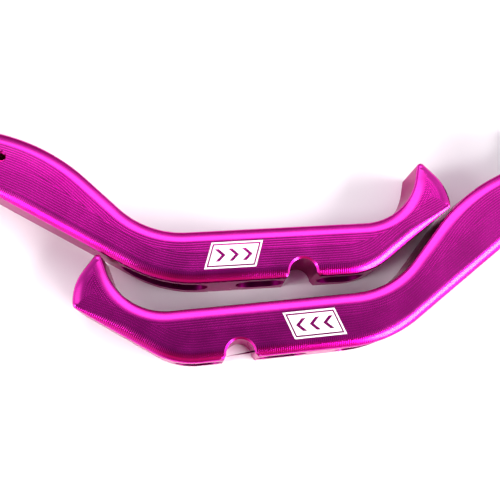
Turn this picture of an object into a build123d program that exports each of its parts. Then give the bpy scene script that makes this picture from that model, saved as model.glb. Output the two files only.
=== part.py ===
from build123d import *
import os
from math import asin, atan2, degrees, sin

# A mirrored pair of billet handguards, lying side by side with their crowned faces up.
# Each guard is drawn in its own plan: x runs along the straight middle towards the hook,
# y from the convex front edge to the concave rear edge, and the origin is at the mouth
# of the round notch in the front edge.  The right guard is the left one with x reversed.
# The row frame has +X along the pair, +Z up, and its origin under the middle of the pair.

# Guard bar, in the guard's plan (mm)
bar_depth = 30.0          # height of the side walls
bar_width = 29.5          # straight middle, front edge to rear edge
plate_thickness = 6.0     # face plate over the milled hollow
wall_thickness = 4.0
rim_radius = 2.2          # rounding of the face's rim
front_arm_bend = (-79.3, 0.0)
front_hook_bend = (39.2, 0.0)
hook_corner = (91.4, 36.8)
hook_end_bulge = (90.9, 49.5)
hook_tip = (75.8, 67.4)
rear_hook_bend = (65.7, bar_width)
rear_arm_bend = (-86.1, bar_width)
rear_arm_shoulder = (-144.0, 89.6)
arm_edges_meet = (-260.4, 114.4)   # where the arm's two long edges would meet
eye_radius = 14.5

# Round notch in the front edge
notch_radius = 7.8
notch_centre_y = 2.6
notch_mouth_round = 2.0
cut_overrun = 2.0         # cutters start this far outside the front edge

# Obround windows in the front wall: start and end along the bar, and how far in the cutter runs.
# The two beside the notch run up to its mouth.
window_height = 17.0
window_centre_z = 14.5
windows = [(-103.0, -54.0, 19.0), (-38.0, -9.4, 6.5), (9.4, 37.0, 6.5)]

# Webs left standing in the hollow, across the bar
web_centre_x = -46.0
web_thickness = 5.0
solid_end_length = 28.0   # solid arm end, measured from the pivot

# Shield screw hole in the arm, M5
shield_hole_x = -166.5
shield_hole_y = 79.2
shield_hole_radius = 2.1
shield_sink_radius = 2.9
shield_hole_depth = 12.0

# Pivot joint in the arm's eye, M8
fork_slot_bottom = 9.0
fork_slot_height = 12.0
fork_slot_radius = 13.5
fork_slot_back = 3.0
pivot_bolt_radius = 4.0
pivot_hole_radius = 4.25
pivot_head_radius = 6.5
pivot_head_height = 5.0
pivot_head_chamfer = 0.6
pivot_socket_flats = 5.0
pivot_recess_radius = 6.8
pivot_nut_flats = 13.0
pivot_nut_height = 4.8
pivot_nut_pocket = 5.0
pocket_clearance = 0.1
running_gap = 0.05
bush_radius = 6.0
washer_thickness = 0.5
washer_radius = 9.0

# Handlebar clamp, for a 22.2 mm bar
bar_radius = 11.1
bar_distance = 32.5       # pivot axis to handlebar axis
bar_height = 21.0         # handlebar axis above the floor
clamp_width = 20.0        # along the handlebar
clamp_height = 41.0
saddle_reach = 17.0       # back face of the saddle to the handlebar axis
cap_reach = 16.5
clamp_gap = 1.0
saddle_corner = 5.0
cap_corner = 9.0
tongue_width = 18.0
tongue_root = 1.25        # how far the tongue runs into the saddle
tongue_eye_radius = 11.0
clamp_bolt_spacing = 31.6
clamp_bolt_radius = 2.5
clamp_bolt_clearance = 2.75
clamp_head_radius = 4.25
clamp_head_height = 5.0
clamp_recess_radius = 4.6
clamp_thread_depth = 12.0
clamp_thread_run_out = 1.0
socket_depth = 2.6
clamp_socket_flats = 4.0
clamp_rest_angle = 120.0  # direction from pivot to handlebar, from the guard's x axis

# Printed badge on the face: a slanted plate with three chevrons, inside a thin frame
badge_centre = (-38.5, 14.6)
badge_length = 34.0
badge_height = 15.0
badge_slant = 5.0
badge_thickness = 0.2
frame_line = 0.9
frame_gap = 0.9
chevron_width = 2.4
chevron_point = 3.6
chevron_half_height = 3.6
chevron_pitch = 7.6

# Where each guard lies: origin in the row frame and turn of its middle.
# On the right guard the notch and the windows sit a little nearer to the hook.
left_origin = (27.18, -33.71)
left_turn = 4.24
left_cut_shift = 0.0
right_origin = (-4.32, -78.81)
right_turn = 6.29
right_cut_shift = 3.6

front_corners = [arm_edges_meet, front_arm_bend, front_hook_bend, hook_corner, hook_end_bulge]
rear_corners = [hook_tip, rear_hook_bend, rear_arm_bend, rear_arm_shoulder]
outline_points = front_corners + rear_corners
outline_radii = [eye_radius, 76.0, 42.0, 4.0, 28.0, 2.3, 35.0, 52.0, 113.0]

# The eye's circle touches both long edges of the arm
to_front = (Vector(*front_arm_bend) - Vector(*arm_edges_meet)).normalized()
to_rear = (Vector(*rear_arm_shoulder) - Vector(*arm_edges_meet)).normalized()
arm_axis = (to_front + to_rear).normalized()
half_wedge = asin(abs(to_front.cross(arm_axis).Z))
pivot = Vector(*arm_edges_meet) + arm_axis * (eye_radius / sin(half_wedge))
arm_angle = degrees(atan2(arm_axis.Y, arm_axis.X))

# The clamp's tongue fills the fork's slot, less a washer and a running gap on each side
tongue_bottom = fork_slot_bottom + running_gap + washer_thickness
tongue_thickness = fork_slot_height - 2 * (running_gap + washer_thickness)


def export_piece(piece, label):
    """Name a finished piece and write it as its own STEP file."""
    piece.label = label
    export_step(piece, f"parts/{label}.step")


def turned_to_arm(hand, point):
    """A place in the guard's plan, turned to run along the arm."""
    return Location((hand * point.X, point.Y, 0), (0, 0, hand * arm_angle))


def build_shell(side, hand, ground, cut_shift):
    """The milled bar: outline, rounded rim, notch, hollow, windows, fork and holes."""
    notch_x = hand * cut_shift
    with BuildPart() as shell:
        with BuildSketch(ground):
            with BuildLine():
                points = [(hand * x, y) for x, y in outline_points]
                FilletPolyline(*points, radius=outline_radii, close=True)
            make_face()
        extrude(amount=bar_depth)
        fillet(shell.faces().sort_by(Axis.Z)[-1].edges(), rim_radius)

        # Notch, with the corners of its mouth rounded
        with BuildSketch(ground):
            with BuildLine():
                mouth_half = notch_radius + notch_mouth_round
                Polyline(
                    (notch_x - mouth_half, -cut_overrun),
                    (notch_x + mouth_half, -cut_overrun),
                    (notch_x + mouth_half, 0),
                    (notch_x + notch_radius, notch_centre_y),
                    (notch_x - notch_radius, notch_centre_y),
                    (notch_x - mouth_half, 0),
                    close=True,
                )
            make_face()
            with Locations((notch_x, notch_centre_y)):
                Circle(notch_radius)
        extrude(amount=bar_depth, mode=Mode.SUBTRACT)

        # Hollow, milled from below, with its webs left standing
        with BuildSketch(ground):
            with BuildLine():
                FilletPolyline(*points, radius=outline_radii, close=True)
            make_face()
            offset(amount=-wall_thickness, kind=Kind.INTERSECTION)
            with Locations((notch_x, notch_centre_y)):
                Circle(notch_radius + wall_thickness, mode=Mode.SUBTRACT)
            with Locations((hand * web_centre_x, bar_width / 2)):
                Rectangle(web_thickness, bar_width, mode=Mode.SUBTRACT)
            with Locations(turned_to_arm(hand, pivot)):
                Rectangle(2 * solid_end_length, 4 * eye_radius, mode=Mode.SUBTRACT)
        extrude(amount=bar_depth - plate_thickness, mode=Mode.SUBTRACT)

        # Windows through the front wall
        for start_x, end_x, reach in windows:
            middle_x = (start_x + end_x) / 2 + cut_shift
            centre = ground.from_local_coords(Vector(hand * middle_x, -cut_overrun, window_centre_z))
            with BuildSketch(Plane(centre, x_dir=ground.x_dir, z_dir=ground.y_dir)):
                SlotOverall(end_x - start_x, window_height)
            extrude(amount=cut_overrun + reach, mode=Mode.SUBTRACT)

        # Slot of the fork, open all round the arm's end
        with BuildSketch(ground.offset(fork_slot_bottom)):
            with Locations((hand * pivot.X, pivot.Y)):
                Circle(fork_slot_radius)
            slot_middle = pivot - arm_axis * (2 * eye_radius - fork_slot_back)
            with Locations(turned_to_arm(hand, slot_middle)):
                Rectangle(4 * eye_radius, 4 * eye_radius)
        extrude(amount=fork_slot_height, mode=Mode.SUBTRACT)

        # Pivot hole with a recess for the head above and a nut pocket below
        with BuildSketch(ground):
            with Locations((hand * pivot.X, pivot.Y)):
                Circle(pivot_hole_radius)
        extrude(amount=bar_depth, mode=Mode.SUBTRACT)
        with BuildSketch(ground.offset(bar_depth)):
            with Locations((hand * pivot.X, pivot.Y)):
                Circle(pivot_recess_radius)
        extrude(amount=-pivot_head_height, mode=Mode.SUBTRACT)
        with BuildSketch(ground):
            with Locations(Location((hand * pivot.X, pivot.Y, 0), (0, 0, clamp_rest_angle))):
                RegularPolygon(pivot_nut_flats / 2 + pocket_clearance, 6, major_radius=False)
        extrude(amount=pivot_nut_pocket, mode=Mode.SUBTRACT)

        # Tapped hole for a shield screw
        shield_mouth = Vector(hand * shield_hole_x, shield_hole_y, bar_depth)
        with Locations(ground.from_local_coords(shield_mouth)):
            CounterSinkHole(shield_hole_radius, shield_sink_radius, shield_hole_depth, 90)
    export_piece(shell.part, f"{side}_shell")


def build_badge(side, hand, ground):
    """A plain slanted badge with three chevrons cut out of it, printed on the face."""
    middle_x, middle_y = badge_centre
    half_length = badge_length / 2
    half_height = badge_height / 2
    corners = [
        (middle_x - half_length, middle_y - half_height),
        (middle_x + half_length - badge_slant, middle_y - half_height),
        (middle_x + half_length, middle_y + half_height),
        (middle_x - half_length + badge_slant, middle_y + half_height),
    ]
    with BuildPart() as badge:
        with BuildSketch(ground.offset(bar_depth)):
            with BuildLine():
                Polyline(*[(hand * x, y) for x, y in corners], close=True)
            plate = make_face()
            offset(plate, amount=-frame_line, kind=Kind.INTERSECTION, mode=Mode.SUBTRACT)
            inset = frame_line + frame_gap
            offset(plate, amount=-inset, kind=Kind.INTERSECTION, mode=Mode.ADD)
            for step in (-1, 0, 1):
                back_x = middle_x + step * chevron_pitch - (chevron_width + chevron_point) / 2
                tip_x = back_x + chevron_point
                with BuildLine():
                    chevron = [
                        (back_x, middle_y - chevron_half_height),
                        (back_x + chevron_width, middle_y - chevron_half_height),
                        (tip_x + chevron_width, middle_y),
                        (back_x + chevron_width, middle_y + chevron_half_height),
                        (back_x, middle_y + chevron_half_height),
                        (tip_x, middle_y),
                    ]
                    Polyline(*[(hand * x, y) for x, y in chevron], close=True)
                make_face(mode=Mode.SUBTRACT)
        extrude(amount=badge_thickness)
    export_piece(badge.part, f"{side}_badge")


def build_pivot(side, pivot_plane):
    """Everything on the vertical pivot axis: bolt, lock nut, bush and two washers."""
    head_seat = bar_depth - pivot_head_height
    with BuildPart() as bolt:
        with BuildSketch(pivot_plane.offset(running_gap)):
            Circle(pivot_bolt_radius)
        extrude(amount=head_seat)
        with BuildSketch(pivot_plane.offset(head_seat)):
            Circle(pivot_head_radius)
        extrude(amount=pivot_head_height)
        chamfer(bolt.faces().sort_by(Axis.Z)[-1].edges(), pivot_head_chamfer)
        with BuildSketch(pivot_plane.offset(bar_depth)):
            RegularPolygon(pivot_socket_flats / 2, 6, major_radius=False)
        extrude(amount=-socket_depth, mode=Mode.SUBTRACT)
    export_piece(bolt.part, f"{side}_pivot_bolt")

    with BuildPart() as nut:
        with BuildSketch(pivot_plane.offset(pivot_nut_pocket - pivot_nut_height)):
            RegularPolygon(pivot_nut_flats / 2, 6, major_radius=False)
            Circle(pivot_bolt_radius + running_gap, mode=Mode.SUBTRACT)
        extrude(amount=pivot_nut_height)
    export_piece(nut.part, f"{side}_pivot_nut")

    with BuildPart() as bush:
        with BuildSketch(pivot_plane.offset(tongue_bottom)):
            Circle(bush_radius)
            Circle(pivot_bolt_radius + running_gap, mode=Mode.SUBTRACT)
        extrude(amount=tongue_thickness)
    export_piece(bush.part, f"{side}_pivot_bush")

    lower_seat = tongue_bottom - washer_thickness
    upper_seat = tongue_bottom + tongue_thickness
    for level, seat in (("lower", lower_seat), ("upper", upper_seat)):
        with BuildPart() as washer:
            with BuildSketch(pivot_plane.offset(seat)):
                Circle(washer_radius)
                Circle(pivot_hole_radius, mode=Mode.SUBTRACT)
            extrude(amount=washer_thickness)
        export_piece(washer.part, f"{side}_{level}_washer")


def build_clamp(side, pivot_plane, clamp_plane):
    """The split handlebar clamp: saddle with its tongue, cap and two socket screws."""
    back_face = bar_distance - saddle_reach
    front_face = bar_distance + cap_reach
    tongue_length = back_face + tongue_root
    half_gap = clamp_gap / 2
    screw_length = cap_reach - clamp_head_height + clamp_thread_depth - clamp_thread_run_out
    bolt_rows = [(0, bar_height + sign * clamp_bolt_spacing / 2) for sign in (-1, 1)]
    split_plane = Plane(
        clamp_plane.from_local_coords(Vector(bar_distance, 0, 0)),
        x_dir=clamp_plane.z_dir * -1,
        z_dir=clamp_plane.x_dir,
    )
    head_seat_plane = split_plane.offset(cap_reach - clamp_head_height)

    with BuildPart() as saddle:
        with BuildSketch(clamp_plane) as saddle_profile:
            with Locations(((back_face + bar_distance - half_gap) / 2, bar_height)):
                Rectangle(saddle_reach - half_gap, clamp_height)
            back_corners = saddle_profile.vertices().sort_by(Axis.X)[:2]
            fillet(back_corners, saddle_corner)
            with Locations((bar_distance, bar_height)):
                Circle(bar_radius, mode=Mode.SUBTRACT)
        extrude(amount=clamp_width / 2, both=True)
        with BuildSketch(pivot_plane.offset(tongue_bottom)):
            Circle(tongue_eye_radius)
            with Locations((tongue_length / 2, 0)):
                Rectangle(tongue_length, tongue_width)
        extrude(amount=tongue_thickness)
        with BuildSketch(pivot_plane.offset(tongue_bottom)):
            Circle(bush_radius)
        extrude(amount=tongue_thickness, mode=Mode.SUBTRACT)
        with BuildSketch(split_plane):
            with Locations(*bolt_rows):
                Circle(clamp_bolt_radius + running_gap)
        extrude(amount=-clamp_thread_depth, mode=Mode.SUBTRACT)
    export_piece(saddle.part, f"{side}_clamp_saddle")

    with BuildPart() as cap:
        with BuildSketch(clamp_plane) as cap_profile:
            with Locations(((front_face + bar_distance + half_gap) / 2, bar_height)):
                Rectangle(cap_reach - half_gap, clamp_height)
            front_corners = cap_profile.vertices().sort_by(Axis.X)[-2:]
            fillet(front_corners, cap_corner)
            with Locations((bar_distance, bar_height)):
                Circle(bar_radius, mode=Mode.SUBTRACT)
        extrude(amount=clamp_width / 2, both=True)
        with BuildSketch(split_plane):
            with Locations(*bolt_rows):
                Circle(clamp_bolt_clearance)
        extrude(amount=cap_reach, mode=Mode.SUBTRACT)
        with BuildSketch(head_seat_plane):
            with Locations(*bolt_rows):
                Circle(clamp_recess_radius)
        extrude(amount=clamp_head_height, mode=Mode.SUBTRACT)
    export_piece(cap.part, f"{side}_clamp_cap")

    with BuildPart() as bolts:
        with BuildSketch(head_seat_plane):
            with Locations(*bolt_rows):
                Circle(clamp_head_radius)
        extrude(amount=clamp_head_height)
        with BuildSketch(head_seat_plane):
            with Locations(*bolt_rows):
                Circle(clamp_bolt_radius)
        extrude(amount=-screw_length)
        with BuildSketch(head_seat_plane.offset(clamp_head_height)):
            with Locations(*bolt_rows):
                RegularPolygon(clamp_socket_flats / 2, 6, major_radius=False)
        extrude(amount=-socket_depth, mode=Mode.SUBTRACT)
    export_piece(bolts.part, f"{side}_clamp_bolts")


placed_guards = [
    ("left", 1, left_origin, left_turn, clamp_rest_angle, left_cut_shift),
    ("right", -1, right_origin, right_turn, 180 - clamp_rest_angle, right_cut_shift),
]

os.makedirs("parts", exist_ok=True)
for side, hand, origin, turn, clamp_turn, cut_shift in placed_guards:
    along = Vector(1, 0, 0).rotate(Axis.Z, turn)
    ground = Plane((origin[0], origin[1], 0), x_dir=along, z_dir=(0, 0, 1))
    pivot_point = ground.from_local_coords(Vector(hand * pivot.X, pivot.Y, 0))
    to_bar = along.rotate(Axis.Z, clamp_turn)
    pivot_plane = Plane(pivot_point, x_dir=to_bar, z_dir=(0, 0, 1))
    clamp_plane = Plane(pivot_point, x_dir=to_bar, z_dir=to_bar.cross(Vector(0, 0, 1)))
    build_shell(side, hand, ground, cut_shift)
    build_badge(side, hand, ground)
    build_pivot(side, pivot_plane)
    build_clamp(side, pivot_plane, clamp_plane)
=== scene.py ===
"""Looks for a mirrored pair of billet handguards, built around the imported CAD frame."""

from math import atan2, ceil, cos, hypot, pi, radians, sin, tan

import bmesh
import bpy
import numpy as np
from mathutils import Matrix, Vector
from mathutils.geometry import delaunay_2d_cdt
from mathutils.kdtree import KDTree


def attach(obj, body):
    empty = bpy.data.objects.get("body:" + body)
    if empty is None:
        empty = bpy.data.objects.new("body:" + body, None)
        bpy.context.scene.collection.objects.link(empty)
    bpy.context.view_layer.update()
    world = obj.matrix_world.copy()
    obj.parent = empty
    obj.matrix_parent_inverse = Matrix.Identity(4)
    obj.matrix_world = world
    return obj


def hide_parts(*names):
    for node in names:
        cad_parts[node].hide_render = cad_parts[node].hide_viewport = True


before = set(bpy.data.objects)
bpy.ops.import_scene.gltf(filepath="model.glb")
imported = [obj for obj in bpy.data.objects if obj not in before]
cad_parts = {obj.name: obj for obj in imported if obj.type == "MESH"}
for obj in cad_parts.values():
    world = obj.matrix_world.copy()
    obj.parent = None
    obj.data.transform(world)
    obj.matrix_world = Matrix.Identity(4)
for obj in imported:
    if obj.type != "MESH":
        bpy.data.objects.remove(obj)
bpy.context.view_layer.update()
mm = 0.001

# Guard bar in its own plan, mm: x along the middle towards the hook, y from front to rear
bar_depth = 30.0
bar_width = 29.5
wall_thickness = 4.0
corners = [                        # x, y, radius
    (-260.4, 114.4, 14.5),         # eye of the arm
    (-79.3, 0.0, 76.0),            # front edge bends to the arm
    (39.2, 0.0, 42.0),             # front edge bends to the hook
    (91.4, 36.8, 4.0),             # hook corner
    (90.9, 49.5, 28.0),            # bulge of the hook's end
    (75.8, 67.4, 2.3),             # hook tip
    (65.7, bar_width, 35.0),       # rear edge bends to the hook
    (-86.1, bar_width, 52.0),      # rear edge bends to the arm
    (-144.0, 89.6, 113.0),         # shoulder of the arm
]
eye_corner, hook_corner = 0, 3
notch_radius = 7.8
notch_centre_y = 2.6
notch_mouth_round = 2.0
guards = [                         # side, origin x, origin y, turn in degrees, hand, notch x
    ("left", 27.18, -33.71, 4.24, 1, 0.0),
    ("right", -4.32, -78.81, 6.29, -1, 3.6),
]

# Machined face, mm
cut_level = 25.2                   # the CAD's walls are kept up to here
# Edge profiles: rounding width and drop, band width and drop, and the lead by which passes that
# follow the front edge reach past the middle
front_profile = np.array([6.5, 2.95, 0.4, 0.0, 5.3])
end_profile = np.array([1.3, 0.55, 4.6, 1.0, 0.0])
rim_round = 0.45                   # the last small rounding between the face and the walls
hook_taper = 30.0                  # the front rounding narrows over this length to the hook
arm_taper = 60.0                   # and over this length to the arm's eye
band_start_share = 0.35            # share of the band's drop that is an even slope, not a curve
crown_slope = 0.012
crown_reach = 12.1                 # the crown falls from here to the edge
notch_chamfer = 1.1
chamfer_slope = 0.78
chamfer_fade = 2.5                 # the chamfer fades in over this distance from the front edge
row_pitch = 1.35                   # step-over of the ball mill
tick_pitch = 0.90                  # feed of the ball mill
recess_chamfer = 0.6               # round the bolt's recess in the eye
shield_radius, shield_sink = 2.1, 2.9   # countersunk hole in the arm

# Mesh of the face, mm
table_step = 0.05                  # between points of the outline's table
loop_step = 0.85                   # between vertices along the edge
ring_angles = (14, 27, 39, 50, 60, 69, 77, 84)   # degrees round the rounding, one ring each
ring_step, ring_count = 1.0, 19    # rings further in
ring_room = 0.4                    # least distance from the rings to the chamfer and the holes
crease_room = 0.5                  # least distance from the rings to the crease along the middle
deepest_crease = 24.0
same_branch = 6.0                  # points closer than this along the edge lie on one branch of it
on_line = 0.05                     # a point this near to a line counts as on it
on_curve = 0.06
near_wall, near_notch = 0.2, 0.3   # how far a facet's middle may lie off its true curve
same_way = 0.9                     # cosine above which a facet faces along the edge's normal
crease_angle = 30                  # degrees


def tree_of(points, indices):
    """A search tree over some rows of a table of plan points."""
    tree = KDTree(len(indices))
    for i in indices:
        tree.insert((points[i][0], points[i][1], 0), i)
    tree.balance()
    return tree


def nearest(tree, where):
    """Table rows nearest to each point, and the distances."""
    found = [tree.find((x, y, 0)) for x, y in where]
    return np.array([f[1] for f in found], int), np.array([f[2] for f in found])


def corner_arcs():
    """The arc that rounds each corner: start, end, centre and radius."""
    arcs = []
    for i, (x, y, r) in enumerate(corners):
        here = Vector((x, y))
        back = (Vector(corners[i - 1][:2]) - here).normalized()
        ahead = (Vector(corners[(i + 1) % len(corners)][:2]) - here).normalized()
        half = back.angle(ahead) / 2
        reach = r / tan(half)
        centre = here + (back + ahead).normalized() * (r / sin(half))
        arcs.append((here + back * reach, here + ahead * reach, centre, r))
    return arcs


class Outline:
    """The closed edge of a guard in plan, as a dense table by arc length."""

    def __init__(self):
        arcs = corner_arcs()
        points, normals, marks = [], [], []
        for i, (start, end, centre, r) in enumerate(arcs):
            first = atan2(start.y - centre.y, start.x - centre.x)
            last = atan2(end.y - centre.y, end.x - centre.x)
            swing = (last - first + pi) % (2 * pi) - pi
            steps = max(8, ceil(abs(swing) * r / table_step))
            side = 1 if swing > 0 else -1
            marks.append(len(points) + steps // 2)
            for k in range(steps):
                angle = first + swing * k / steps
                out = Vector((cos(angle), sin(angle)))
                points.append(centre + out * r)
                normals.append(out * side)
            run = arcs[(i + 1) % len(arcs)][0] - end
            steps = max(2, ceil(run.length / table_step))
            out = Vector((run.y, -run.x)).normalized()
            for k in range(steps):
                points.append(end + run * (k / steps))
                normals.append(out)
        self.points = np.array(points)
        self.normals = np.array(normals)
        gaps = np.linalg.norm(np.roll(self.points, -1, 0) - self.points, axis=1)
        self.s = np.concatenate([[0.0], np.cumsum(gaps)[:-1]])
        self.length = float(gaps.sum())
        self.first, self.last = marks[eye_corner], marks[hook_corner]
        front = range(self.first, self.last + 1)
        rear = list(range(self.last, len(points))) + list(range(self.first + 1))
        self.front_tree = tree_of(self.points, front)
        self.rear_tree = tree_of(self.points, rear)
        self.tree = tree_of(self.points, range(len(points)))

    def profile(self, index):
        """Edge profile at table rows: it tapers from the front's big rounding to the ends' band."""
        s = self.s[index]
        share = np.minimum((s - self.s[self.first]) / arm_taper, (self.s[self.last] - s) / hook_taper)
        share = np.clip(share, 0, 1)[:, None]
        return end_profile + (front_profile - end_profile) * share

    def at(self, s):
        """Plan points at these arc lengths."""
        s = np.asarray(s) % self.length
        grid = np.append(self.s, self.length)
        x = np.interp(s, grid, np.append(self.points[:, 0], self.points[0, 0]))
        y = np.interp(s, grid, np.append(self.points[:, 1], self.points[0, 1]))
        return np.stack([x, y], 1)


edge = Outline()

# Zones of a bar's mesh, and the material slot of each
CAD_WALL, SMOOTH, MILLED, RIM_WALL, HOLE = range(5)
SMOOTH_SLOT, MILLED_SLOT, WALL_SLOT = range(3)
slot_of_zone = np.array([WALL_SLOT, SMOOTH_SLOT, MILLED_SLOT, WALL_SLOT, SMOOTH_SLOT], np.int32)
round_row = -2                     # row number of the pass along the front rounding
steepest_root = 0.01               # keeps the slope at the very edge finite


class Face:
    """Height, slope and tool-mark coordinates of one guard's machined face."""

    def __init__(self, notch_x):
        self.notch = np.array([notch_x, notch_centre_y])

    def notch_distance(self, where):
        """Distance outside the notch's rim: its round part, or the flats of its mouth."""
        x = np.abs(where[:, 0] - self.notch[0])
        y = where[:, 1]
        flat = np.array([notch_centre_y, notch_mouth_round]) / hypot(notch_centre_y, notch_mouth_round)
        flat_part = (x - notch_radius) * flat[0] + (y - notch_centre_y) * flat[1]
        round_part = np.hypot(x, y - notch_centre_y) - notch_radius
        return np.where(y < notch_centre_y, flat_part, round_part)

    def read(self, where, anchor=None):
        """The face at these points; anchor picks the side of each crease they belong to."""
        anchor = where if anchor is None else anchor
        front_i, front_d = nearest(edge.front_tree, anchor)
        rear_i, rear_d = nearest(edge.rear_tree, anchor)
        on_front = front_d - edge.profile(front_i)[:, 4] < rear_d
        index = np.where(on_front, front_i, rear_i)
        anchor_d = np.where(on_front, front_d, rear_d)
        anchor_a, _, anchor_w, _, anchor_lead = edge.profile(index).T
        if anchor is not where:
            own = np.where(on_front, nearest(edge.front_tree, where)[0], nearest(edge.rear_tree, where)[0])
            gap = np.abs(edge.s[own] - edge.s[index])
            index = np.where(np.minimum(gap, edge.length - gap) < same_branch, own, index)
        normal = edge.normals[index]
        offset = where - edge.points[index]
        d = np.maximum(-(offset * normal).sum(1), 0.0)
        along = offset[:, 1] * normal[:, 0] - offset[:, 0] * normal[:, 1]
        round_width, round_drop, band_width, band_drop, lead = edge.profile(index).T
        lead = np.where(on_front, lead, 0.0)
        anchor_lead = np.where(on_front, anchor_lead, 0.0)
        in_band = ~on_front & (anchor_d < anchor_a + anchor_w)
        in_crown = anchor_d - anchor_lead < crown_reach

        # Big rounding and the small one at the very edge
        share = np.clip(1 - d / round_width, 0, 1)
        rim = np.clip(1 - d / rim_round, 0, 1)
        drop = round_drop * share ** 2 + rim_round * (1 - np.sqrt(np.maximum(1 - rim ** 2, 0)))
        slope = 2 * round_drop / round_width * share
        slope += rim / np.sqrt(np.maximum(1 - rim ** 2, steepest_root))

        # Sloped band along the rear edge, and the crown
        band = np.clip(round_width + band_width - d, 0, band_width) / band_width
        curved = 1 - band_start_share
        drop += np.where(in_band, band_drop * (band_start_share * band + curved * band ** 2), 0)
        slope += np.where(in_band, band_drop / band_width * (band_start_share + 2 * curved * band), 0)
        drop += crown_slope * np.maximum(crown_reach + lead - d, 0)
        slope += np.where(in_crown, crown_slope, 0)
        tilt = slope[:, None] * normal

        # Chamfer of the notch, which fades out at the front edge
        fade = np.clip(d / chamfer_fade, 0, 1)
        fade = np.where(on_front, fade * fade * (3 - 2 * fade), 0)
        in_notch = self.notch_distance(anchor) < notch_chamfer
        depth = np.clip(notch_chamfer - self.notch_distance(where), 0, notch_chamfer)
        drop += chamfer_slope * fade * depth
        away = self.notch - where
        away /= np.maximum(np.linalg.norm(away, axis=1), 1e-6)[:, None]
        tilt += np.where(in_notch, chamfer_slope * fade, 0)[:, None] * away

        # Rows of the ball mill: the front rounding is one pass, numbered -2 so that it stays apart
        start = round_width + np.where(on_front, 0, band_width)
        row = np.where(on_front & (d < start), round_row + 0.999 * d / round_width, (d - start) / row_pitch)
        milled = np.where(on_front, ~in_notch, d >= start)
        return {
            "z": bar_depth - drop,
            "tilt": tilt,
            "s": (edge.s[index] + along) / tick_pitch,
            "row": row,
            "zone": np.where(milled, MILLED, SMOOTH),
        }


def loops_at_cut(bm):
    """Ordered vertex loops round the open edges that the cut leaves."""
    links = {}
    for e in bm.edges:
        if e.is_boundary and all(abs(v.co.z - cut_level) < 1e-3 for v in e.verts):
            for v in e.verts:
                links.setdefault(v, []).append(e.other_vert(v))
    loops = []
    left = set(links)
    while left:
        start = min(left, key=lambda v: (v.co.x, v.co.y))
        loop, before, here = [], None, start
        while here in left:
            left.discard(here)
            loop.append(here)
            ways = [v for v in links[here] if v is not before and v in left]
            before = here
            if ways:
                here = ways[0]
        area = sum(a.co.x * b.co.y - b.co.x * a.co.y for a, b in zip(loop, loop[1:] + loop[:1]))
        loops.append((abs(area), loop if area > 0 else loop[::-1]))
    return [loop for area, loop in sorted(loops, key=lambda pair: -pair[0])]


def fill_loop(bm, loop, face):
    """Splits the outer loop's long chords and moves the new corners onto the true edge."""
    def place(v):
        """A vertex's plan position, as a key."""
        return (round(v.co.x, 4), round(v.co.y, 4))

    known = {place(v) for v in loop}
    by_cuts = {}
    for a, b in zip(loop, loop[1:] + loop[:1]):
        cuts = ceil((a.co - b.co).xy.length / loop_step) - 1
        if cuts > 0:
            link = next(e for e in a.link_edges if e.other_vert(a) is b)
            by_cuts.setdefault(cuts, []).append(link)
    for cuts, edges in sorted(by_cuts.items()):
        bmesh.ops.subdivide_edges(bm, edges=edges, cuts=cuts)
    loop = loops_at_cut(bm)[0]
    start = next(i for i, v in enumerate(loop) if place(v) in known)
    loop = loop[start:] + loop[:start]
    runs, run = [], []
    for v in loop[1:] + loop[:1]:
        if place(v) in known:
            runs.append(run)
            run = []
        else:
            run.append(v)
    keys = [v for v in loop if place(v) in known]
    for a, b, between in zip(keys, keys[1:] + keys[:1], runs):
        if not between:
            continue
        ends = np.array([a.co.xy, b.co.xy])
        rows, gap = nearest(edge.tree, ends)
        shares = [(v.co - a.co).xy.length / (b.co - a.co).xy.length for v in between]
        if gap.max() < on_line:
            s0, s1 = edge.s[rows]
            span = (s1 - s0 + edge.length / 2) % edge.length - edge.length / 2
            spots = edge.at(s0 + span * np.array(shares))
        else:
            from_notch = ends - face.notch
            off_notch = abs(np.hypot(*from_notch.T) - notch_radius).max()
            if off_notch > on_line or from_notch[:, 1].min() < -on_line:
                continue
            angles = np.arctan2(from_notch[:, 1], from_notch[:, 0])
            turned = angles[0] + (angles[1] - angles[0]) * np.array(shares)
            spots = face.notch + notch_radius * np.stack([np.cos(turned), np.sin(turned)], 1)
        for v, (x, y) in zip(between, spots):
            v.co.x, v.co.y = x, y
    return loop


def circle_of(hole):
    """Centre and radius of a hole's rim."""
    centre = hole.mean(0)
    return centre, np.hypot(*(hole - centre).T).mean()


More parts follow.
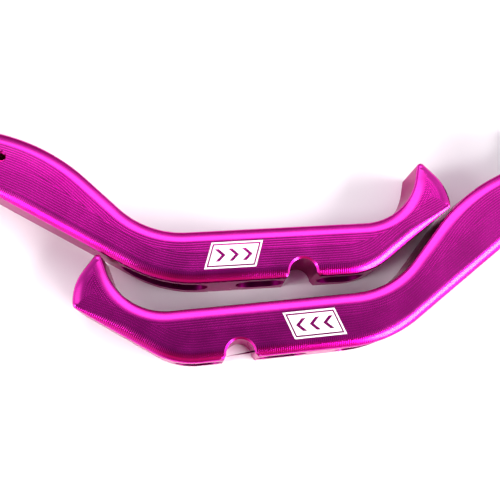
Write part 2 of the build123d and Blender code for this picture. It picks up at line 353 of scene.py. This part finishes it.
def plan_mesh(face, rim, holes):
    """Triangles over the face in plan: rings inside the edge, the crease, the notch and the holes."""
    spots, lines = [list(p) for p in rim], []
    count = len(rim)
    lines += [(i, (i + 1) % count) for i in range(count)]
    for hole in holes:
        first = len(spots)
        spots += [list(p) for p in hole]
        lines += [(first + i, first + (i + 1) % len(hole)) for i in range(len(hole))]

    def clear(points, notch_room):
        """Which points keep their distance from the notch and the holes."""
        good = face.notch_distance(points) > notch_room
        for hole in holes:
            centre, radius = circle_of(hole)
            good &= np.hypot(*(points - centre).T) > radius + ring_room + on_line
        return good

    def add_ring(points, good, chained):
        """Adds the good points, and joins neighbours if the triangles have to follow the ring."""
        index = {}
        for i in np.flatnonzero(good):
            index[i] = len(spots)
            spots.append(list(points[i]))
        if chained:
            lines.extend((index[i], index[i + 1]) for i in index if i + 1 in index)

    step_rows = int(loop_step / table_step)
    total = len(edge.points)
    sides = (
        (edge.front_tree, edge.rear_tree, np.arange(edge.first, edge.last, step_rows), True),
        (edge.rear_tree, edge.front_tree, np.arange(edge.last, edge.first + total, step_rows) % total, False),
    )
    for own_tree, other_tree, rows, is_front in sides:
        base, normal = edge.points[rows], edge.normals[rows]
        a, b, w, g, lead = edge.profile(rows).T
        w = np.zeros_like(w) if is_front else w
        depths = [(a * (1 - cos(radians(angle))), False) for angle in ring_angles] + [(a, is_front)]
        if not is_front:
            depths += [(a + w / 2, False), (a + w, True)]
        depths += [(a + w + k * ring_step, False) for k in range(1, ring_count + 1)]
        for depth, chained in depths:
            points = base - normal * depth[:, None]
            _, own = nearest(own_tree, points)
            found, other = nearest(other_tree, points)
            if is_front:
                margin = other - (own - lead)
            else:
                margin = (other - edge.profile(found)[:, 4]) - own
            good = (np.abs(own - depth) < on_line / 2.5) & (margin > crease_room)
            add_ring(points, good & clear(points, notch_chamfer + ring_room), chained)

    # Crease between the passes that follow the front edge and those that follow the rear
    rows = np.arange(edge.first, edge.last, step_rows)
    base, normal = edge.points[rows], edge.normals[rows]
    lead = edge.profile(rows)[:, 4]
    low, high = np.zeros(len(rows)), np.full(len(rows), deepest_crease)
    for _ in range(16):
        middle = (low + high) / 2
        _, other = nearest(edge.rear_tree, base - normal * middle[:, None])
        beyond = middle - lead > other
        low, high = np.where(beyond, low, middle), np.where(beyond, middle, high)
    points = base - normal * low[:, None]
    _, own = nearest(edge.front_tree, points)
    good = (np.abs(own - low) < on_line) & (low < deepest_crease - 1) & (low > crease_room + 0.1)
    add_ring(points, good & clear(points, notch_chamfer + ring_room), True)

    # Chamfer of the notch
    from_notch = rim - face.notch
    on_notch = (np.abs(np.hypot(*from_notch.T) - notch_radius) < on_line) & (from_notch[:, 1] > -0.01)
    order = np.flatnonzero(on_notch)
    for depth in (notch_chamfer / 2, notch_chamfer):
        points = face.notch + from_notch[order] * (1 + depth / notch_radius)
        add_ring(points, points[:, 1] > 0.3, depth == notch_chamfer)

    return triangles_inside(spots, lines, face, holes)


def triangles_inside(spots, lines, face, holes):
    """Triangulates the points along the lines, and keeps what lies on the face."""
    made = delaunay_2d_cdt([Vector(p) for p in spots], lines, [], 0, 1e-5)
    places = np.array([list(v) for v in made[0]])
    triangles = np.array([list(f) for f in made[2]])
    middle = places[triangles].mean(1)
    rows, _ = nearest(edge.tree, middle)
    inside = ((middle - edge.points[rows]) * edge.normals[rows]).sum(1) < 0
    inside &= face.notch_distance(middle) > 0
    for hole in holes:
        centre, radius = circle_of(hole)
        inside &= np.hypot(*(middle - centre).T) > radius * 0.999
    triangles = triangles[inside]
    a, b, c = (places[triangles[:, k]] for k in range(3))
    turn = (b[:, 0] - a[:, 0]) * (c[:, 1] - a[:, 1]) - (b[:, 1] - a[:, 1]) * (c[:, 0] - a[:, 0])
    keep = np.abs(turn) > 1e-7
    triangles, turn = triangles[keep], turn[keep]
    triangles[turn < 0] = triangles[turn < 0][:, ::-1]
    return places, triangles


def open_shell(side, hand, to_row):
    """The CAD shell in plan coordinates, with everything above the cut taken off."""
    bm = bmesh.new()
    bm.from_mesh(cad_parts[f"{side}_shell"].data)
    bm.transform(to_row.inverted())
    bmesh.ops.remove_doubles(bm, verts=bm.verts[:], dist=1e-3)
    if hand < 0:
        bmesh.ops.reverse_faces(bm, faces=bm.faces[:])
    bmesh.ops.bisect_plane(
        bm, geom=bm.verts[:] + bm.edges[:] + bm.faces[:], dist=1e-5,
        plane_co=(0, 0, cut_level), plane_no=(0, 0, 1), clear_outer=True,
    )
    return bm


def grown_hole(ring):
    """A hole's rim on the face: its loop at the cut grown by the chamfer or countersink, and the growth."""
    points = np.array([v.co.xy for v in ring])
    centre, radius = circle_of(points)
    grow = recess_chamfer if radius > shield_sink else shield_sink - shield_radius
    offset = points - centre
    return points + offset / np.hypot(*offset.T)[:, None] * grow, grow


def add_face(bm, face, places, triangles, zone_layer, uv_layer):
    """The machined face: its vertices, and its triangles with their zones and tool-mark coordinates."""
    height = face.read(places)["z"]
    top = [bm.verts.new((x, y, z)) for (x, y), z in zip(places, height)]
    middles = places[triangles].mean(1)
    corner_read = face.read(places[triangles].reshape(-1, 2), np.repeat(middles, 3, 0))
    zones = face.read(middles)["zone"]
    for k, triangle in enumerate(triangles):
        f = bm.faces.new([top[i] for i in triangle])
        f[zone_layer] = int(zones[k])
        for c, corner in enumerate(f.loops):
            corner[uv_layer].uv = (corner_read["s"][3 * k + c], corner_read["row"][3 * k + c])
    return top


def build_shell(side, origin_x, origin_y, turn, hand, notch_x, materials):
    """A guard bar: the CAD's walls below the cut, and a finely shaped machined face above it."""
    face = Face(notch_x)
    to_row = Matrix.Translation((origin_x * mm, origin_y * mm, 0)) @ Matrix.Rotation(radians(turn), 4, "Z")
    to_row = to_row @ Matrix.Diagonal((hand * mm, mm, mm, 1))
    bm = open_shell(side, hand, to_row)
    loop = fill_loop(bm, loops_at_cut(bm)[0], face)
    hole_loops = loops_at_cut(bm)[1:]
    rim = np.array([v.co.xy for v in loop])
    grown = [grown_hole(ring) for ring in hole_loops]
    places, triangles = plan_mesh(face, rim, [hole for hole, grow in grown])
    zone_layer = bm.faces.layers.int.new("zone")
    uv_layer = bm.loops.layers.uv.new("mill")
    top = add_face(bm, face, places, triangles, zone_layer, uv_layer)
    tree = tree_of(places, range(len(places)))

    def top_at(point):
        """The face's vertex over a plan point."""
        return top[tree.find((point[0], point[1], 0))[1]]

    def strip(lower, upper, zone, outward):
        """Quads between two closed loops of the same length."""
        for i in range(len(lower)):
            j = (i + 1) % len(lower)
            quad = (lower[i], lower[j], upper[j], upper[i])
            f = bm.faces.new(quad if outward else quad[::-1])
            f[zone_layer] = zone
            for corner in f.loops:
                at = lower.index(corner.vert) if corner.vert in lower else upper.index(corner.vert)
                corner[uv_layer].uv = (at, corner.vert.co.z)

    strip(loop, [top_at(p) for p in rim], RIM_WALL, True)
    for ring, (hole, grow) in zip(hole_loops, grown):
        outer = [top_at(p) for p in hole]
        inner = [bm.verts.new((v.co.x, v.co.y, o.co.z - grow)) for v, o in zip(ring, outer)]
        strip(ring, inner, HOLE, False)
        strip(inner, outer, HOLE, False)
    loose = [v for v in bm.verts if not v.link_faces]
    bmesh.ops.delete(bm, geom=loose, context="VERTS")
    mesh = bpy.data.meshes.new(f"{side}_bar")
    bm.to_mesh(mesh)
    bm.free()
    mesh.transform(to_row)
    if hand < 0:
        mesh.flip_normals()
    set_bar_normals(mesh, face, to_row)
    for material in materials:
        mesh.materials.append(material)
    zone = column(mesh.attributes["zone"].data, "value", np.int32)
    mesh.polygons.foreach_set("material_index", slot_of_zone[zone])
    obj = bpy.data.objects.new(f"{side}_bar", mesh)
    bpy.context.scene.collection.objects.link(obj)
    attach(obj, f"{side}_guard")
    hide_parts(f"{side}_shell")


def column(items, name, kind=float, width=1):
    """One property of all vertices, loops or polygons of a mesh, as an array."""
    values = np.zeros(len(items) * width, kind)
    items.foreach_get(name, values)
    return values.reshape(-1, width) if width > 1 else values


def set_bar_normals(mesh, face, to_row):
    """Exact normals for the face and walls, so that reflections run smoothly along the bar."""
    turn = np.array(to_row.to_3x3()) / mm
    shift = np.array(to_row.translation)
    co = (column(mesh.vertices, "co", width=3) - shift) @ turn / mm
    vert = column(mesh.loops, "vertex_index", np.int32)
    sizes = column(mesh.polygons, "loop_total", np.int32)
    owner = np.repeat(np.arange(len(sizes)), sizes)
    zone = column(mesh.attributes["zone"].data, "value", np.int32)
    centre = (column(mesh.polygons, "center", width=3) - shift) @ turn / mm
    flat = column(mesh.polygons, "normal", width=3) @ turn
    mesh.polygons.foreach_set("use_smooth", np.ones(len(sizes), bool))
    mesh.set_sharp_from_angle(angle=radians(crease_angle))
    normals = np.zeros((len(vert), 3))
    on_top = np.isin(zone, (SMOOTH, MILLED))[owner]
    picked = np.flatnonzero(on_top)
    found = face.read(co[vert[picked], :2], centre[owner[picked], :2])
    normals[picked, :2] = found["tilt"]
    normals[picked, 2] = 1
    upright = np.abs(flat[:, 2]) < 0.05
    wall = np.flatnonzero((np.isin(zone, (CAD_WALL, RIM_WALL)) & upright)[owner])
    where = co[vert[wall], :2]
    middle = centre[owner[wall], :2]
    rows, gap = nearest(edge.tree, where)
    _, middle_gap = nearest(edge.tree, middle)
    outer = (gap < on_curve) & (middle_gap < near_wall)
    inner = (np.abs(gap - wall_thickness) < on_curve) & (np.abs(middle_gap - wall_thickness) < near_wall)
    aligned = (edge.normals[rows] * flat[owner[wall], :2]).sum(1)
    outer &= aligned > same_way
    inner &= aligned < -same_way
    normals[wall[outer], :2] = edge.normals[rows[outer]]
    normals[wall[inner], :2] = -edge.normals[rows[inner]]
    to_notch = face.notch - where
    radius = np.hypot(*to_notch.T)
    middle_radius = np.hypot(*(face.notch - middle).T)
    notch = (np.abs(radius - notch_radius) < on_curve) & (np.abs(middle_radius - notch_radius) < near_notch)
    notch &= (where[:, 1] > notch_centre_y - 0.01) & ~outer
    normals[wall[notch], :2] = to_notch[notch] / radius[notch, None]
    lengths = np.linalg.norm(normals, axis=1)
    lengths[lengths == 0] = 1
    mesh.normals_split_custom_set((normals / lengths[:, None] @ turn.T).tolist())


# ---------------------------------------------------------------- materials

def node_material(name):
    """A new material with its node tree and its shader."""
    material = bpy.data.materials.new(name)
    material.use_nodes = True
    tree = material.node_tree
    return material, tree, tree.nodes["Principled BSDF"]


def add(tree, kind, **settings):
    """A node with its settings; numbers given as in_0, in_1 set its inputs."""
    node = tree.nodes.new(kind)
    for key, value in settings.items():
        if key.startswith("in_"):
            node.inputs[int(key[3:])].default_value = value
        else:
            setattr(node, key, value)
    return node


def math_node(tree, operation, first, second=None, third=None):
    """A math node; each input is a number or a socket."""
    node = tree.nodes.new("ShaderNodeMath")
    node.operation = operation
    for i, value in enumerate((first, second, third)):
        if value is None:
            continue
        if isinstance(value, (int, float)):
            node.inputs[i].default_value = value
        else:
            tree.links.new(value, node.inputs[i])
    return node.outputs[0]


face_dye = ((0.60, 0.003, 0.335, 1), (0.66, 0.006, 0.375, 1))   # the dye wanders between two shades
# The walls use a darker copy of the face's dye: painted shade, since the walls stand in shadow
wall_dye_with_painted_shade = ((0.32, 0.003, 0.17, 1), (0.39, 0.005, 0.21, 1))
grazing_tint = (0.85, 0.12, 0.50, 1)
face_gloss, wall_gloss = 0.20, 0.30     # roughness
coat_weight, coat_roughness, oxide_ior = 0.4, 0.08, 1.6
cloud_scale = 60.0                 # dye and gloss clouds, per metre
gloss_spread = 0.04
fleck_scale, fleck_size = 95.0, 0.022
fleck_colour = (0.9, 0.75, 0.85, 1)
tick_depth, row_depth, comb_depth = 0.12, 0.09, 0.03      # slopes of the ball mill's dimples
comb_stretch = 0.8                 # the pass along the rounding has a longer feed


def anodised(name, dye_and_painted_shade, gloss, milled):
    """Dyed anodising over aluminium: a coloured metal under a clear oxide coat. The walls' copy takes a
    darker dye, which is painted shade.
    """
    material, tree, bsdf = node_material(name)
    link = tree.links.new
    bsdf.inputs["Metallic"].default_value = 1.0
    bsdf.inputs["Coat Weight"].default_value = coat_weight
    bsdf.inputs["Specular Tint"].default_value = grazing_tint
    bsdf.inputs["Coat Roughness"].default_value = coat_roughness
    bsdf.inputs["Coat IOR"].default_value = oxide_ior
    place = add(tree, "ShaderNodeTexCoord")
    cloud = add(tree, "ShaderNodeTexNoise", in_2=cloud_scale, in_3=4.0)
    link(place.outputs["Object"], cloud.inputs["Vector"])
    colour = add(tree, "ShaderNodeMix", data_type="RGBA")
    colour.inputs["A"].default_value = dye_and_painted_shade[0]
    colour.inputs["B"].default_value = dye_and_painted_shade[1]
    spread = add(tree, "ShaderNodeMapRange", in_1=0.35, in_2=0.65)
    link(cloud.outputs["Fac"], spread.inputs["Value"])
    link(spread.outputs["Result"], colour.inputs["Factor"])
    if milled:
        speck = add(tree, "ShaderNodeTexVoronoi", in_2=fleck_scale)
        link(place.outputs["Object"], speck.inputs["Vector"])
        fleck = math_node(tree, "LESS_THAN", speck.outputs["Distance"], fleck_size)
        dusty = add(tree, "ShaderNodeMix", data_type="RGBA")
        dusty.inputs["B"].default_value = fleck_colour
        link(fleck, dusty.inputs["Factor"])
        link(colour.outputs["Result"], dusty.inputs["A"])
        link(math_node(tree, "SUBTRACT", 1.0, fleck), bsdf.inputs["Metallic"])
        colour = dusty
    link(colour.outputs["Result"], bsdf.inputs["Base Color"])
    rough = add(tree, "ShaderNodeMapRange", in_1=0.3, in_2=0.7)
    rough.inputs["To Min"].default_value = gloss - gloss_spread
    rough.inputs["To Max"].default_value = gloss + gloss_spread
    link(cloud.outputs["Fac"], rough.inputs["Value"])
    link(rough.outputs["Result"], bsdf.inputs["Roughness"])
    if milled:
        link(mill_marks(tree), bsdf.inputs["Normal"])
    return material


def mill_marks(tree):
    """Dimples of the ball mill from the map "mill": x counts ticks along a pass, y counts passes."""
    link = tree.links.new
    uv = add(tree, "ShaderNodeUVMap", uv_map="mill")
    parts = add(tree, "ShaderNodeSeparateXYZ")
    link(uv.outputs["UV"], parts.inputs[0])
    row = math_node(tree, "FLOOR", parts.outputs["Y"])
    across = math_node(tree, "SUBTRACT", math_node(tree, "FRACT", parts.outputs["Y"]), 0.5)
    stagger = math_node(tree, "MULTIPLY", math_node(tree, "FLOORED_MODULO", row, 2.0), 0.5)
    on_face = math_node(tree, "GREATER_THAN", row, round_row + 0.5)
    on_round = math_node(tree, "SUBTRACT", 1.0, on_face)
    stretch = math_node(tree, "MULTIPLY_ADD", on_round, comb_stretch - 1, 1.0)
    step = math_node(tree, "MULTIPLY", parts.outputs["X"], stretch)
    shifted = math_node(tree, "ADD", step, stagger)
    along = math_node(tree, "SUBTRACT", math_node(tree, "FRACT", shifted), 0.5)
    across = math_node(tree, "MULTIPLY", across, on_face)
    depth = math_node(tree, "MULTIPLY_ADD", on_round, comb_depth, tick_depth)
    pack = add(tree, "ShaderNodeCombineXYZ", in_2=1.0)
    link(math_node(tree, "MULTIPLY_ADD", along, depth, 0.5), pack.inputs[0])
    link(math_node(tree, "MULTIPLY_ADD", across, row_depth, 0.5), pack.inputs[1])
    dimple = add(tree, "ShaderNodeNormalMap", uv_map="mill")
    link(pack.outputs[0], dimple.inputs["Color"])
    return dimple.outputs["Normal"]


def plain(name, colour, metallic, roughness, grain_scale, grain_depth):
    """A base for the fittings: slight colour and gloss variation over a fine grain."""
    material, tree, bsdf = node_material(name)
    link = tree.links.new
    bsdf.inputs["Metallic"].default_value = metallic
    place = add(tree, "ShaderNodeTexCoord")
    grain = add(tree, "ShaderNodeTexNoise", in_2=grain_scale, in_3=3.0)
    link(place.outputs["Object"], grain.inputs["Vector"])
    mix = add(tree, "ShaderNodeMix", data_type="RGBA")
    mix.inputs["A"].default_value = [c * 0.85 for c in colour] + [1]
    mix.inputs["B"].default_value = [min(1, c * 1.12) for c in colour] + [1]
    link(grain.outputs["Fac"], mix.inputs["Factor"])
    link(mix.outputs["Result"], bsdf.inputs["Base Color"])
    rough = add(tree, "ShaderNodeMapRange", in_3=roughness * 0.8, in_4=roughness * 1.25)
    link(grain.outputs["Fac"], rough.inputs["Value"])
    link(rough.outputs["Result"], bsdf.inputs["Roughness"])
    bump = add(tree, "ShaderNodeBump", in_0=1.0)
    bump.inputs["Distance"].default_value = grain_depth
    link(grain.outputs["Fac"], bump.inputs["Height"])
    link(bump.outputs["Normal"], bsdf.inputs["Normal"])
    return material


# ---------------------------------------------------------------- the object

bar_materials = [
    anodised("anodised_smooth", face_dye, face_gloss, False),
    anodised("anodised_milled", face_dye, face_gloss, True),
    # the walls' material is the face's anodising with its dye darkened as painted shade
    anodised("anodised_wall_painted_shade", wall_dye_with_painted_shade, wall_gloss, False),
]
for guard in guards:
    build_shell(*guard, bar_materials)

steel, black = (0.55, 0.54, 0.52), (0.02, 0.02, 0.023)
white, ivory = (0.9, 0.9, 0.9), (0.78, 0.76, 0.7)
finishes = {                       # colour, metallic, roughness, grain per metre, grain depth in metres
    "badge": plain("white_print", white, 0.0, 0.5, 900, 2e-6),
    "clamp_saddle": plain("black_anodising", black, 0.7, 0.42, 2500, 1e-5),
    "clamp_cap": plain("black_anodising_cap", black, 0.7, 0.42, 2500, 1e-5),
    "clamp_bolts": plain("stainless", steel, 1.0, 0.28, 3000, 4e-6),
    "pivot_bolt": plain("stainless_pivot", steel, 1.0, 0.28, 3000, 4e-6),
    "pivot_nut": plain("zinc", (0.6, 0.6, 0.62), 1.0, 0.35, 1500, 4e-6),
    "pivot_bush": plain("bronze", (0.45, 0.27, 0.1), 1.0, 0.4, 4000, 6e-6),
    "upper_washer": plain("nylon", ivory, 0.0, 0.5, 1200, 4e-6),
    "lower_washer": plain("nylon_lower", ivory, 0.0, 0.5, 1200, 4e-6),
}
for name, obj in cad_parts.items():
    kind = name.split("_", 1)[1]
    if kind in finishes:
        obj.data.materials.clear()
        obj.data.materials.append(finishes[kind])

# ---------------------------------------------------------------- stage

floor_mesh = bpy.data.meshes.new("floor")
half = 3.0
floor_corners = [(-half, -half, 0), (half, -half, 0), (half, half, 0), (-half, half, 0)]
floor_mesh.from_pydata(floor_corners, [], [(0, 1, 2, 3)])
floor = bpy.data.objects.new("floor", floor_mesh)
bpy.context.scene.collection.objects.link(floor)
paper, tree, bsdf = node_material("floor_paper")
bsdf.inputs["Base Color"].default_value = (0.93, 0.93, 0.93, 1)
bsdf.inputs["Roughness"].default_value = 0.9
bsdf.inputs["Specular IOR Level"].default_value = 0.1
floor_mesh.materials.append(paper)

# Studio light as a function of direction: an even sky with darker patches, and soft boxes and
# strips laid over it. Angles are in degrees; colours are radiance.
sky_light = (0.84, 0.80, 0.84)
shades = [                         # azimuth from +X, elevation, inner and outer half angle, share left
    (-90, 82, 10, 34, (0.20, 0.18, 0.22)),
    (-90, 38, 22, 46, (0.30, 0.10, 0.12)),
    (90, 14, 18, 32, (0.40, 0.16, 0.26)),
    (135, 58, 8, 26, (0.55, 0.50, 0.58)),
    (34, 57, 8, 24, (0.66, 0.60, 0.68)),
]
soft_boxes = [                     # azimuth, elevation, inner and outer half angle, radiance
    (-162, 32, 6, 12, (16.0, 15.6, 16.0)),
    (167, 47, 4, 13, (1.2, 1.1, 1.2)),
]
strips = [                         # azimuth, elevation, half height, half length, edge, radiance
    (88, 56, 5, 12, 7, (2.6, 2.4, 2.6)),
    (-22, 30, 8, 20, 5, (17.0, 16.6, 17.0)),
    (-100, 28, 3, 34, 6, (0.55, 0.07, 0.18)),
]
horizon_light = (0.5, 0.48, 0.5)    # a low glow all round, from the white sweep behind the set
horizon_top, horizon_fade = 12, 24
world = bpy.data.worlds.new("studio")
bpy.context.scene.world = world
world.use_nodes = True
tree = world.node_tree
sky_coords = add(tree, "ShaderNodeTexCoord").outputs["Generated"]


def towards(azimuth, elevation):
    """Unit vector of a direction in degrees."""
    azimuth, elevation = radians(azimuth), radians(elevation)
    return Vector((cos(azimuth) * cos(elevation), sin(azimuth) * cos(elevation), sin(elevation)))


def scaled_light(factor, radiance):
    """A light's colour times a factor socket."""
    node = add(tree, "ShaderNodeVectorMath", operation="SCALE", in_0=radiance)
    tree.links.new(factor, node.inputs["Scale"])
    return node.outputs[0]


def near_direction(direction, inner, outer):
    """1 within the inner angle of a direction, 0 beyond the outer one."""
    dot = add(tree, "ShaderNodeVectorMath", operation="DOT_PRODUCT", in_1=direction)
    tree.links.new(sky_coords, dot.inputs[0])
    ramp = add(tree, "ShaderNodeMapRange", interpolation_type="SMOOTHSTEP")
    ramp.inputs["From Min"].default_value = cos(radians(outer))
    ramp.inputs["From Max"].default_value = cos(radians(inner))
    tree.links.new(dot.outputs["Value"], ramp.inputs["Value"])
    return ramp.outputs["Result"]


def vector_node(operation, first, second):
    """A vector math node; each input is a colour or a socket."""
    node = add(tree, "ShaderNodeVectorMath", operation=operation)
    for i, value in enumerate((first, second)):
        if isinstance(value, tuple):
            node.inputs[i].default_value = value
        else:
            tree.links.new(value, node.inputs[i])
    return node.outputs[0]


low = near_direction(towards(0, -90), 90 + horizon_top, 90 + horizon_fade)
sky = vector_node("ADD", scaled_light(low, horizon_light), sky_light)
for azimuth, elevation, inner, outer, left in shades:
    here = near_direction(towards(azimuth, elevation), inner, outer)
    mix = add(tree, "ShaderNodeMix", data_type="RGBA")
    mix.inputs["A"].default_value = (1, 1, 1, 1)
    mix.inputs["B"].default_value = left + (1,)
    tree.links.new(here, mix.inputs["Factor"])
    sky = vector_node("MULTIPLY", mix.outputs["Result"], sky)
for azimuth, elevation, inner, outer, radiance in soft_boxes:
    here = near_direction(towards(azimuth, elevation), inner, outer)
    sky = vector_node("ADD", scaled_light(here, radiance), sky)
for azimuth, elevation, height, length, blur, radiance in strips:
    here = near_direction(towards(azimuth, elevation), length, length + 3 * blur)
    not_low = near_direction(towards(azimuth, elevation - 90), 90 - height, 90 - height - blur)
    not_high = near_direction(towards(azimuth, elevation - 90), 90 + height, 90 + height + blur)
    within = math_node(tree, "MULTIPLY", not_low, not_high)
    inside = math_node(tree, "MULTIPLY", here, within)
    sky = vector_node("ADD", scaled_light(inside, radiance), sky)
tree.links.new(sky, tree.nodes["Background"].inputs["Color"])

# Camera fitted to the outlines of both bars, about 355 mm above the floor
lens_data = bpy.data.cameras.new("camera")
lens_data.lens = 43.2
lens_data.sensor_width = 36.0
camera = bpy.data.objects.new("camera", lens_data)
bpy.context.scene.collection.objects.link(camera)
camera.location = (-0.02582, -0.10341, 0.355)
camera.rotation_euler = (radians(14.49), radians(-3.97), 0)
bpy.context.scene.camera = camera
bpy.context.scene.view_settings.view_transform = "Standard"
